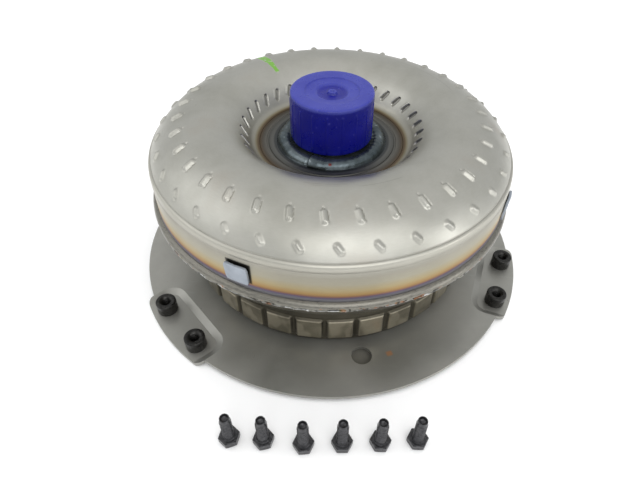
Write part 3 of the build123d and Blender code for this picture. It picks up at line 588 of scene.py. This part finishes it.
class Graph:
    """A material's node tree, with short calls for what this scene needs."""

    def __init__(self, name, metallic, roughness):
        """Principled shader with object coordinates in mm and the distance from the axis."""
        self.material = bpy.data.materials.new(name)
        self.material.use_nodes = True
        self.tree = self.material.node_tree
        self.tree.nodes.clear()
        output = self.add("ShaderNodeOutputMaterial")
        self.shader = self.add("ShaderNodeBsdfPrincipled")
        self.tree.links.new(self.shader.outputs[0], output.inputs[0])
        self.shader.inputs["Metallic"].default_value = metallic
        self.shader.inputs["Roughness"].default_value = roughness
        self.point = self.add("ShaderNodeTexCoord").outputs["Object"]
        split = self.add("ShaderNodeSeparateXYZ")
        self.tree.links.new(self.point, split.inputs[0])
        scaled = [self.math("MULTIPLY", split.outputs[i], 1000.0) for i in range(3)]
        self.x, self.y, self.z = scaled
        x_squared = self.math("POWER", self.x, 2)
        y_squared = self.math("POWER", self.y, 2)
        self.r = self.math("SQRT", self.math("ADD", x_squared, y_squared))

    def add(self, kind):
        """A new node of the tree."""
        return self.tree.nodes.new(kind)

    def put(self, socket, value):
        """Links a socket or sets a constant."""
        if isinstance(value, bpy.types.NodeSocket):
            self.tree.links.new(value, socket)
        else:
            socket.default_value = value

    def hollow(self):
        """Depth of the pressed hollows, mm, kept on the mesh."""
        node = self.add("ShaderNodeAttribute")
        node.attribute_name = "hollow"
        return node.outputs["Fac"]

    def math(self, op, a, b=0.0, c=0.0):
        """Result of a Math node."""
        node = self.add("ShaderNodeMath")
        node.operation = op
        for socket, value in zip(node.inputs, (a, b, c)):
            self.put(socket, value)
        return node.outputs[0]

    def span(self, value, lo, hi, out_lo=0.0, out_hi=1.0):
        """Smooth step of a value."""
        node = self.add("ShaderNodeMapRange")
        node.interpolation_type = "SMOOTHSTEP"
        for socket, v in zip(node.inputs, (value, lo, hi, out_lo, out_hi)):
            self.put(socket, v)
        return node.outputs[0]

    def band(self, value, centre, half, soft):
        """1 inside a band, 0 outside, with soft edges."""
        off = self.math("ABSOLUTE", self.math("SUBTRACT", value, centre))
        return self.span(off, half, half + soft, 1.0, 0.0)

    def noise(self, scale, detail=4.0, rough=0.55, stretch=(1, 1, 1)):
        """Noise in object space; scale is per metre."""
        move = self.add("ShaderNodeVectorMath")
        move.operation = "MULTIPLY"
        self.put(move.inputs[0], self.point)
        move.inputs[1].default_value = stretch
        node = self.add("ShaderNodeTexNoise")
        self.put(node.inputs["Vector"], move.outputs[0])
        node.inputs["Scale"].default_value = scale
        node.inputs["Detail"].default_value = detail
        node.inputs["Roughness"].default_value = rough
        return node.outputs[0]

    def ring_noise(self, scale, squeeze):
        """Noise drawn out along the circles about Z, as turning and polishing leave it."""
        join_xyz = self.add("ShaderNodeCombineXYZ")
        angle = self.math("ARCTAN2", self.y, self.x)
        self.put(join_xyz.inputs[0], self.math("MULTIPLY", self.r, scale))
        self.put(join_xyz.inputs[1], self.math("MULTIPLY", self.z, scale))
        self.put(join_xyz.inputs[2], self.math("MULTIPLY", angle, squeeze))
        node = self.add("ShaderNodeTexNoise")
        self.put(node.inputs["Vector"], join_xyz.outputs[0])
        node.inputs["Scale"].default_value = 1.0
        node.inputs["Detail"].default_value = 3.0
        return node.outputs[0]

    def ramp(self, value, stops):
        """Colour from (place, colour) stops."""
        node = self.add("ShaderNodeValToRGB")
        self.put(node.inputs[0], value)
        line = node.color_ramp
        while len(line.elements) < len(stops):
            line.elements.new(0.5)
        for element, (place, colour) in zip(line.elements, stops):
            element.position = place
            element.color = colour
        return node.outputs[0]

    def mix(self, amount, a, b):
        """Colour a where amount is 0, colour b where it is 1."""
        node = self.add("ShaderNodeMix")
        node.data_type = "RGBA"
        self.put(node.inputs[0], amount)
        self.put(node.inputs[6], a)
        self.put(node.inputs[7], b)
        return node.outputs[2]

    def tone(self, colour, value, amount):
        """Lightens and darkens a colour by a 0-1 value about its middle."""
        factor = self.math("MULTIPLY_ADD", value, 2 * amount, 1 - amount)
        node = self.add("ShaderNodeVectorMath")
        node.operation = "SCALE"
        self.put(node.inputs[0], colour)
        self.put(node.inputs[3], factor)
        return node.outputs[0]

    def bump(self, height, distance_mm, strength):
        """Fine relief of the surface."""
        node = self.add("ShaderNodeBump")
        node.inputs["Strength"].default_value = strength
        node.inputs["Distance"].default_value = distance_mm * MM
        self.put(node.inputs["Height"], height)
        self.put(self.shader.inputs["Normal"], node.outputs[0])

    def colour(self, value):
        """Sets the base colour."""
        self.put(self.shader.inputs["Base Color"], value)

    def roughness(self, value, lo, hi):
        """Spreads the roughness from lo to hi by a 0-1 value."""
        self.put(self.shader.inputs["Roughness"], self.span(value, 0.25, 0.75, lo, hi))

    def turned(self, angle):
        """Radial and sideways distance, mm, from a ray at an angle in degrees."""
        c, s = np.cos(np.radians(angle)), np.sin(np.radians(angle))
        along = self.math("ADD", self.math("MULTIPLY", self.x, c), self.math("MULTIPLY", self.y, s))
        side = self.math("SUBTRACT", self.math("MULTIPLY", self.y, c), self.math("MULTIPLY", self.x, s))
        return along, side


def paint(target, material):
    """Gives a piece or CAD node its material."""
    if not target.material_slots:
        target.data.materials.append(material)
    for place in target.material_slots:
        place.material = material


# ---------------------------------------------------------------- materials
RUBS = (                            # radius, start and end angle, width
    (92.5, -100, -84, 0.5),
    (94.6, -97, -86, 0.3),
    (96.0, -78, -62, 0.35),
    (104.0, 20, 60, 0.3),
)


def shell_material():
    """Satin steel with heat tints, a green paint stroke and rubs; painted shade along the crease, in the
    hollows and behind the front weight.
    """
    g = Graph("satin_shell", 1.0, 0.34)
    cloud = g.noise(22, 5, 0.6)
    fine = g.ring_noise(1.6, 30)
    base = g.ramp(
        cloud,
        [(0.3, srgb(176, 175, 166)), (0.55, srgb(188, 187, 179)), (0.75, srgb(184, 180, 170))],
    )
    lo_z, hi_z = SKIRT_LOW, 119.0
    drift = g.math("MULTIPLY", g.math("SUBTRACT", g.noise(9, 3), 0.5), 3.0)
    height = g.span(g.math("ADD", g.z, drift), lo_z, hi_z)
    linear = g.math("DIVIDE", g.math("SUBTRACT", g.math("ADD", g.z, drift), lo_z), hi_z - lo_z)

    def at(z):
        """Place of a height on the tint ramp."""
        return (z - lo_z) / (hi_z - lo_z)

    tint = g.ramp(
        linear,
        [
            (at(81.0), srgb(132, 131, 130)),
            (at(87.4), srgb(126, 125, 130)),
            (at(89.4), srgb(104, 94, 116)),
            (at(90.6), srgb(140, 106, 88)),
            (at(92.6), srgb(168, 138, 92)),
            (at(96.5), srgb(172, 157, 122)),
            (at(102.5), srgb(166, 161, 144)),
            (at(111.0), srgb(158, 155, 145)),
            (at(118.0), srgb(188, 186, 176)),
        ],
    )
    on_skirt = g.math("MULTIPLY", g.span(g.r, 140.6, 141.4), g.span(height, 0.999, 1.0, 1.0, 0.0))
    base = g.mix(on_skirt, base, tint)
    # gold and brown where the bowl's foot was heated
    heat = g.ramp(
        g.span(g.r, 56.0, 70.0),
        [
            (0.0, srgb(86, 74, 62)),
            (0.12, srgb(112, 98, 78)),
            (0.22, srgb(142, 134, 112)),
            (0.38, srgb(164, 161, 148)),
            (1.0, srgb(180, 179, 170)),
        ],
    )
    base = g.mix(g.span(g.r, 60.0, 69.0, 1.0, 0.0), base, heat)
    # painted shade along the crease between the rolled rim and the torus
    crease = g.math("MULTIPLY", g.band(g.r, 140.6, 0.2, 0.5), g.span(g.z, 117.6, 118.2))
    base = g.mix(g.math("MULTIPLY", crease, 0.25), base, srgb(120, 116, 106))
    # green paint stroke
    along, side = g.turned(125.3)
    wobble = g.math("MULTIPLY", g.math("SUBTRACT", g.noise(160, 3), 0.5), 3.0)
    taper = g.span(along, 82.0, 114.0, 1.6, 3.6)
    across = g.math("ABSOLUTE", g.math("ADD", side, wobble))
    stroke = g.span(g.math("SUBTRACT", across, taper), -0.2, 0.5, 1.0, 0.0)
    ends = g.math("MULTIPLY", g.span(along, 81.5, 83.5), g.span(along, 113.5, 116.5, 1.0, 0.0))
    stroke = g.math("MULTIPLY", stroke, ends)
    stroke = g.math("MULTIPLY", stroke, g.span(g.noise(240, 2), 0.28, 0.42))
    base = g.mix(stroke, base, srgb(98, 148, 52))
    # a few thin rubs and small dark specks
    angle = g.math("ARCTAN2", g.y, g.x)
    for radius, a0, a1, width in RUBS:
        mid, half = np.radians((a0 + a1) / 2), np.radians((a1 - a0) / 2)
        ring = g.band(g.r, radius, width * 0.5, 0.35)
        rub = g.math("MULTIPLY", ring, g.band(angle, mid, half, 0.03))
        base = g.mix(g.math("MULTIPLY", rub, 0.35), base, srgb(150, 148, 140))
    speck = g.span(g.noise(420, 2), 0.77, 0.83)
    base = g.mix(g.math("MULTIPLY", speck, 0.5), base, srgb(96, 88, 78))
    # painted shadow behind the front balance weight
    ahead, across = g.turned(WEIGHT_ANGLES[0])
    weight_shadow = g.math("MULTIPLY", g.band(across, 0.9, 8.6, 1.2), g.band(g.z, 100.2, 8.0, 1.6))
    weight_shadow = g.math("MULTIPLY", g.math("MULTIPLY", weight_shadow, on_skirt), g.span(ahead, 100.0, 120.0))
    base = g.mix(g.math("MULTIPLY", weight_shadow, 0.9), base, srgb(40, 38, 36))
    # painted shade in the pressed hollows, darker where they are deeper
    hollow_shade = g.math("MULTIPLY", g.span(g.hollow(), 0.35, 1.3), g.span(g.r, 60.0, 64.0))
    base = g.mix(g.math("MULTIPLY", hollow_shade, 0.6), base, srgb(92, 90, 84))
    base = g.tone(base, fine, 0.05)
    g.colour(base)
    metal = g.math("SUBTRACT", 1.0, stroke)
    g.put(g.shader.inputs["Metallic"], metal)
    g.roughness(g.noise(34, 4), 0.36, 0.48)
    grain = g.math("ADD", g.math("MULTIPLY", fine, 0.5), g.math("MULTIPLY", g.noise(900, 2), 0.5))
    g.bump(grain, 0.05, 0.5)
    return g.material


def drum_material():
    """Duller steel, with paler block faces, a painted reflection of the plate on them and painted shade
    in the gaps.
    """
    g = Graph("drum_steel", 0.9, 0.42)
    cloud = g.noise(30, 5)
    base = g.ramp(cloud, [(0.3, srgb(76, 73, 64)), (0.7, srgb(100, 96, 85))])
    proud = g.span(g.r, DRUM_R + 1.2, DRUM_R + 2.2)
    low_zone = g.span(g.z, TOOTH_Z[1] + 1.0, TOOTH_Z[1] + 2.5, 1.0, 0.0)
    block = g.math("MULTIPLY", proud, low_zone)
    face = g.ramp(g.noise(60, 4), [(0.3, srgb(104, 99, 86)), (0.7, srgb(142, 136, 120))])
    base = g.mix(block, base, face)
    # painted reflection of the plate, as paler patches on the block faces
    plate_reflection = g.math("MULTIPLY", g.span(g.noise(48, 2, 0.5, (1, 1, 0.6)), 0.5, 0.56), block)
    base = g.mix(g.math("MULTIPLY", plate_reflection, 0.5), base, srgb(172, 164, 146))
    # painted shade in the gaps between the teeth
    gap_shade = g.math("MULTIPLY", g.span(g.r, DRUM_R + 0.2, DRUM_R + 1.2, 1.0, 0.0), low_zone)
    base = g.mix(g.math("MULTIPLY", gap_shade, 0.5), base, srgb(70, 66, 56))
    g.colour(g.tone(base, g.ring_noise(1.2, 12), 0.12))
    g.roughness(g.noise(40, 4), 0.3, 0.5)
    g.bump(g.noise(700, 3), 0.08, 0.5)
    return g.material


def seam_material():
    """Blue-grey weld drawn out in streaks, with a bright lip and rust spots, and painted shade in the
    pits and on the underside.
    """
    g = Graph("seam_weld_steel", 1.0, 0.36)
    streak = g.ring_noise(1.5, 46)
    low_part = g.ramp(
        streak,
        [(0.3, srgb(84, 82, 74)), (0.5, srgb(128, 127, 120)), (0.7, srgb(164, 163, 156))],
    )
    high_part = g.ramp(streak, [(0.3, srgb(118, 115, 109)), (0.7, srgb(140, 138, 129))])
    base = g.mix(g.span(g.z, 80.4, 82.4), low_part, high_part)
    lip = g.math("MULTIPLY", g.band(g.z, 79.6, 0.5, 0.9), g.span(g.ring_noise(0.4, 30), 0.38, 0.55))
    base = g.mix(g.math("MULTIPLY", lip, 0.8), base, srgb(206, 207, 206))
    zone = g.math("MULTIPLY", g.span(g.noise(19, 2), 0.46, 0.52), g.span(g.z, 81.8, 82.8, 1.0, 0.0))
    burnt = g.math("MULTIPLY", g.span(g.noise(150, 4), 0.53, 0.58), zone)
    rust = g.math("MULTIPLY", g.span(g.noise(170, 4), 0.54, 0.62), zone)
    base = g.mix(g.math("MULTIPLY", rust, 0.75), base, srgb(150, 98, 62))
    olive = g.math("MULTIPLY", g.span(g.noise(120, 3), 0.6, 0.7), zone)
    base = g.mix(g.math("MULTIPLY", olive, 0.7), base, srgb(96, 92, 50))
    base = g.mix(g.math("MULTIPLY", burnt, 0.85), base, srgb(36, 34, 30))
    # painted shade in the pits
    base = g.mix(g.span(g.hollow(), 0.75, 1.2), base, srgb(30, 29, 28))
    # painted shade on the underside of the bead
    base = g.mix(g.span(g.z, 77.6, 79.2, 1.0, 0.0), base, srgb(60, 58, 53))
    g.colour(base)
    g.roughness(streak, 0.26, 0.46)
    grain = g.math("ADD", g.math("MULTIPLY", streak, 0.4), g.math("MULTIPLY", g.noise(480, 4), 0.3))
    g.bump(grain, 0.12, 0.5)
    return g.material


def bead_material():
    """Dark weld with glints, one rust spot and painted shade at its foot."""
    g = Graph("hub_bead_steel", 0.9, 0.3)
    cloud = g.noise(60, 3)
    base = g.ramp(cloud, [(0.3, srgb(64, 72, 75)), (0.5, srgb(88, 97, 101)), (0.7, srgb(116, 125, 129))])
    along, side = g.turned(-91.0)
    spot = g.math("MULTIPLY", g.band(side, 0.0, 0.7, 0.8), g.band(along, 40.9, 0.4, 0.7))
    spot = g.math("MULTIPLY", spot, g.span(g.noise(300, 3), 0.3, 0.45))
    base = g.mix(g.math("MULTIPLY", spot, 0.85), base, srgb(104, 38, 30))
    glint = g.span(g.noise(150, 3), 0.66, 0.74)
    base = g.mix(g.math("MULTIPLY", glint, 0.6), base, srgb(168, 178, 182))
    # painted shade at the foot of the bead, where it meets the disc
    base = g.mix(g.span(g.z, 117.0, 118.6, 0.8, 0.0), base, srgb(36, 38, 40))
    g.colour(base)
    g.roughness(g.noise(110, 4), 0.2, 0.4)
    g.bump(g.noise(240, 3), 0.15, 0.5)
    return g.material


def hub_material():
    """Turned steel, tinted by rings of radius."""
    g = Graph("hub_steel", 0.95, 0.36)
    turned = g.ring_noise(3.2, 2)
    base = g.ramp(
        g.math("DIVIDE", g.r, 60.0),
        [
            (0.60, srgb(78, 82, 82)),
            (0.76, srgb(72, 74, 74)),
            (0.78, srgb(104, 104, 101)),
            (0.84, srgb(88, 88, 84)),
            (0.86, srgb(112, 110, 104)),
            (0.90, srgb(94, 91, 85)),
            (0.935, srgb(88, 80, 70)),
            (0.955, srgb(98, 84, 66)),
        ],
    )
    base = g.mix(g.span(g.z, 117.4, 118.4), base, srgb(150, 150, 152))
    g.colour(g.tone(base, turned, 0.22))
    g.roughness(turned, 0.28, 0.44)
    g.bump(turned, 0.18, 0.7)
    return g.material


def plate_material():
    """Dull plate with scuffs, specks and one rust spot."""
    g = Graph("plate_steel", 0.75, 0.45)
    cloud = g.noise(14, 5)
    base = g.ramp(
        cloud,
        [(0.3, srgb(144, 144, 138)), (0.6, srgb(163, 162, 156)), (0.8, srgb(153, 149, 140))],
    )
    scuff = g.span(g.noise(60, 5, 0.6, (1, 4, 1)), 0.58, 0.72)
    base = g.mix(g.math("MULTIPLY", scuff, 0.25), base, srgb(168, 167, 162))
    along, side = g.turned(-69.5)
    spot = g.math("MULTIPLY", g.band(side, 0.0, 1.2, 2.2), g.band(along, 138.0, 1.0, 2.0))
    base = g.mix(g.math("MULTIPLY", spot, 0.8), base, srgb(196, 142, 100))
    speck = g.span(g.noise(260, 2), 0.76, 0.82)
    base = g.mix(g.math("MULTIPLY", speck, 0.6), base, srgb(74, 70, 64))
    g.colour(base)
    g.roughness(g.noise(26, 4), 0.36, 0.52)
    g.bump(g.noise(800, 3), 0.06, 0.5)
    return g.material


def phosphate_material(name, dark, light, rough):
    """Black coating of the nuts and bolts, a little worn."""
    g = Graph(name, 0.7, rough)
    grain = g.noise(600, 4)
    base = g.ramp(grain, [(0.3, dark), (0.7, light)])
    wear = g.span(g.noise(140, 4), 0.6, 0.75)
    base = g.mix(g.math("MULTIPLY", wear, 0.3), base, srgb(104, 102, 98))
    g.colour(base)
    g.roughness(g.noise(200, 3), rough - 0.08, rough + 0.12)
    g.bump(grain, 0.08, 0.5)
    return g.material


def weight_material():
    """Zinc-plated sheet."""
    g = Graph("zinc_plate", 0.55, 0.42)
    base = g.ramp(g.noise(90, 4), [(0.3, srgb(146, 154, 164)), (0.7, srgb(166, 173, 182))])
    streak = g.span(g.noise(220, 3, 0.5, (1, 1, 0.2)), 0.6, 0.75)
    base = g.mix(g.math("MULTIPLY", streak, 0.3), base, srgb(124, 131, 140))
    g.colour(base)
    g.roughness(g.noise(160, 3), 0.34, 0.5)
    g.bump(g.noise(500, 3), 0.08, 0.4)
    return g.material


def cap_material():
    """Blue plastic, painted paler on top as a reflection of the sky."""
    g = Graph("blue_plastic", 0.0, 0.34)
    base = g.ramp(g.noise(40, 3), [(0.3, srgb(5, 11, 110)), (0.7, srgb(9, 16, 128))])
    # painted reflection of the sky on the top, as a paler blue
    top_sheen = g.span(g.z, CAP_TOP - 3.2, CAP_TOP - 2.0)
    pale = g.ramp(g.noise(55, 4), [(0.3, srgb(44, 50, 138)), (0.7, srgb(60, 66, 152))])
    base = g.mix(g.math("MULTIPLY", top_sheen, 0.8), base, pale)
    rub = g.span(g.noise(330, 4), 0.66, 0.76)
    base = g.mix(g.math("MULTIPLY", rub, 0.25), base, srgb(120, 118, 208))
    g.colour(base)
    g.roughness(g.noise(120, 3), 0.24, 0.38)
    g.shader.inputs["Specular IOR Level"].default_value = 0.45
    g.shader.inputs["Subsurface Weight"].default_value = 0.05
    g.shader.inputs["Subsurface Radius"].default_value = (0.3, 0.3, 1.0)
    g.shader.inputs["Subsurface Scale"].default_value = 0.002
    g.bump(g.noise(1400, 2), 0.04, 0.4)
    return g.material


def inner_metal(name, dark, light, rough, metallic=1.0):
    """Turned, pressed or cast inner pieces."""
    g = Graph(name, metallic, rough)
    lines = g.ring_noise(2.4, 4)
    base = g.ramp(g.noise(45, 4), [(0.3, dark), (0.7, light)])
    g.colour(g.tone(base, lines, 0.1))
    g.roughness(lines, rough - 0.06, rough + 0.08)
    g.bump(lines, 0.06, 0.4)
    return g.material


paint(shell, shell_material())
paint(drum, drum_material())
paint(seam, seam_material())
paint(bead, bead_material())
paint(nuts, phosphate_material("nut_phosphate", srgb(38, 38, 37), srgb(60, 59, 57), 0.3))
paint(bolts, phosphate_material("bolt_phosphate", srgb(52, 52, 54), srgb(84, 84, 86), 0.3))
zinc = weight_material()
paint(front_weight, zinc)
paint(side_weight, zinc)
paint(cap, cap_material())
paint(NODES["impeller_hub"], hub_material())
paint(NODES["mounting_plate"], plate_material())

INNER = {
    "machined": inner_metal("turned_steel", srgb(168, 168, 168), srgb(196, 196, 194), 0.32),
    "blade": inner_metal("pressed_steel", srgb(138, 136, 132), srgb(168, 166, 160), 0.42),
    "race": inner_metal("ground_steel", srgb(196, 196, 198), srgb(216, 216, 218), 0.2),
    "spring": inner_metal("spring_steel", srgb(84, 84, 90), srgb(112, 112, 118), 0.36),
    "aluminium": inner_metal("cast_aluminium", srgb(186, 187, 190), srgb(208, 209, 212), 0.46),
    "friction": inner_metal("paper_lining", srgb(96, 74, 54), srgb(122, 96, 70), 0.85, 0.0),
    "seal": inner_metal("seal_ring", srgb(30, 30, 32), srgb(46, 46, 50), 0.4, 0.0),
    "cage": inner_metal("moulded_cage", srgb(160, 150, 118), srgb(182, 172, 140), 0.5, 0.0),
}
for part in frame["record"]["subparts"]:
    if part["material_slot"] in INNER:
        paint(NODES[part["node"]], INNER[part["material_slot"]])


# ---------------------------------------------------------------- floor, light and camera
def floor():
    """Large white sheet, with a painted shadow in grey where the part stands on it."""
    mesh = bpy.data.meshes.new("floor")
    half = 3.0
    corners = [(-half, -half, 0), (half, -half, 0), (half, half, 0), (-half, half, 0)]
    mesh.from_pydata(corners, [], [(0, 1, 2, 3)])
    sheet = bpy.data.objects.new("floor", mesh)
    sheet.location.z = -0.0002
    bpy.context.scene.collection.objects.link(sheet)
    g = Graph("white_floor", 0.0, 0.6)
    pale = g.ramp(g.noise(3, 2), [(0.3, (0.93, 0.93, 0.93, 1)), (0.7, (0.95, 0.95, 0.95, 1))])
    # painted shadow: a grey disc under the part, seen through the plate's holes
    g.colour(g.mix(g.span(g.r, 150.0, 158.0, 1.0, 0.0), pale, srgb(112, 110, 102)))
    g.shader.inputs["Specular IOR Level"].default_value = 0.1
    paint(sheet, g.material)


def area_light(name, place, aim, size, power, mirrored=True):
    """Soft box at a place, aimed at a point; metal reflects it only if mirrored."""
    data = bpy.data.lights.new(name, "AREA")
    data.shape = "RECTANGLE"
    data.size, data.size_y = size
    data.energy = power
    lamp = bpy.data.objects.new(name, data)
    lamp.location = place
    lamp.visible_glossy = mirrored
    lamp.rotation_euler = (Vector(aim) - Vector(place)).to_track_quat("-Z", "Y").to_euler()
    bpy.context.scene.collection.objects.link(lamp)


def world():
    """Pale room, brighter overhead."""
    scene_world = bpy.data.worlds.new("room")
    bpy.context.scene.world = scene_world
    scene_world.use_nodes = True
    tree = scene_world.node_tree
    shade = tree.nodes["Background"]
    place = tree.nodes.new("ShaderNodeTexCoord")
    split = tree.nodes.new("ShaderNodeSeparateXYZ")
    ramp = tree.nodes.new("ShaderNodeValToRGB")
    tree.links.new(place.outputs["Generated"], split.inputs[0])
    tree.links.new(split.outputs[2], ramp.inputs[0])
    tree.links.new(ramp.outputs[0], shade.inputs[0])
    stops = ramp.color_ramp
    stops.elements[0].position = 0.0
    stops.elements[0].color = (0.70, 0.71, 0.72, 1)
    stops.elements[1].position = 1.0
    stops.elements[1].color = (0.90, 0.90, 0.90, 1)
    middle = stops.elements.new(0.45)
    middle.color = (0.74, 0.75, 0.76, 1)
    shade.inputs[1].default_value = 0.92


CAMERA_PLACE = Vector((0.0, -0.347, 0.3417))
CAMERA_PITCH = 44.88        # degrees below the horizon
CAMERA_YAW = 0.34
CAMERA_ROLL = 1.35
CAMERA_LENS = 28.23
CAMERA_SHIFT = (-0.0180, 0.0066)


def camera():
    """Camera at the viewing angle of the reference."""
    pitch, yaw, roll = np.radians((CAMERA_PITCH, CAMERA_YAW, CAMERA_ROLL))
    ahead = Vector((np.sin(yaw) * np.cos(pitch), np.cos(yaw) * np.cos(pitch), -np.sin(pitch)))
    right = Vector((np.cos(yaw), -np.sin(yaw), 0.0))
    up = right.cross(ahead)
    right, up = right * np.cos(roll) + up * np.sin(roll), up * np.cos(roll) - right * np.sin(roll)
    data = bpy.data.cameras.new("camera")
    data.lens = CAMERA_LENS
    data.sensor_width = 36.0
    data.shift_x, data.shift_y = CAMERA_SHIFT
    data.clip_start = 0.01
    eye = bpy.data.objects.new("camera", data)
    turn = Matrix((right, up, -ahead)).transposed().to_4x4()
    eye.matrix_world = Matrix.Translation(CAMERA_PLACE) @ turn
    bpy.context.scene.collection.objects.link(eye)
    bpy.context.scene.camera = eye


floor()
world()
camera()
area_light("overhead", (0.1, 0.35, 1.3), (0, 0, 0.1), (2.0, 1.6), 13.0, mirrored=False)
area_light("front", (0.3, -1.05, 1.05), (0, 0, 0.1), (1.4, 0.9), 6.0)
area_light("right", (1.1, -0.5, 0.4), (0, 0, 0.1), (0.6, 0.5), 1.8)
area_light("left", (-1.1, -0.1, 0.8), (0, 0, 0.1), (1.1, 1.1), 2.5)
bpy.context.scene.view_settings.view_transform = "Standard"
